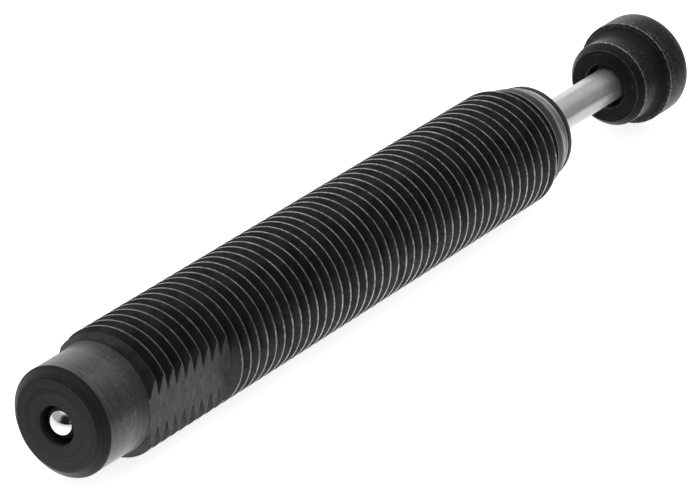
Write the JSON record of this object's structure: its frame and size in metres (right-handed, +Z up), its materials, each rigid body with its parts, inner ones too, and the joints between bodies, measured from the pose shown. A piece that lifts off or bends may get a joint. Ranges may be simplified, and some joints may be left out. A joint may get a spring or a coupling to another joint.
{
  "type": "industrial shock absorber",
  "caption": "Miniature self-contained hydraulic shock absorber: threaded body with wrench flats, spring-returned piston rod and a stepped strike button.",
  "frame": {"origin": "centre of the rear end face, on the axis", "axes": "+X along the axis from the rear face to the button, +Y and -Y are the normals of the two wrench flats, +Z up"},
  "size_m": [0.1122, 0.0138, 0.0138],
  "materials": {
    "black_oxide_steel": "black oxide over turned and threaded steel, oiled, satin",
    "button_steel": "hardened steel with a dark brown-black heat finish, satin",
    "rod_steel": "ground and polished stainless rod",
    "bright_steel": "plain machined steel",
    "ball_steel": "polished bearing steel",
    "bronze": "machined bearing bronze",
    "liner": "dry bearing liner",
    "foam": "closed-cell foam",
    "nbr_rubber": "black rubber",
    "polyurethane": "blue polyurethane seal",
    "ptfe": "white filled PTFE"
  },
  "bodies": {
    "housing": {"body_housing": "black_oxide_steel", "fill_ball": "ball_steel", "tube_base": "bright_steel", "pressure_tube": "bright_steel", "rod_guide": "bronze", "guide_liner": "liner", "accumulator_foam": "foam", "guide_oring": "nbr_rubber", "seal_carrier": "bright_steel", "rod_seal": "polyurethane", "seal_backup": "ptfe", "carrier_oring": "nbr_rubber", "spacer_sleeve": "bright_steel", "front_stop": "black_oxide_steel", "front_liner": "liner", "stop_oring": "nbr_rubber", "wiper": "nbr_rubber", "return_spring": "bright_steel"},
    "ring_slide": {"piston_ring": "bright_steel"},
    "rod_assembly": {"piston_rod": "rod_steel", "piston": "bronze", "spring_seat": "bright_steel", "piston_nut": "bright_steel", "button": "button_steel", "button_clip": "bright_steel"},
    "check_plate": {"check_plate": "bright_steel"}
  },
  "joints": [
    {"name": "rod_slide", "type": "slide", "parent": "housing", "child": "ring_slide", "axis": [-1, 0, 0], "range_m": [0, 0.016], "stiffness_N_per_m": 610, "springref_m": -0.0098, "deforming": ["return_spring"]},
    {"name": "rod_turn", "type": "hinge", "parent": "ring_slide", "child": "rod_assembly", "pos_m": [0.0435, 0, 0], "axis": [1, 0, 0], "continuous": true},
    {"name": "check_plate_float", "type": "slide", "parent": "rod_assembly", "child": "check_plate", "axis": [1, 0, 0], "range_m": [-0.0005, 0]}
  ]
}
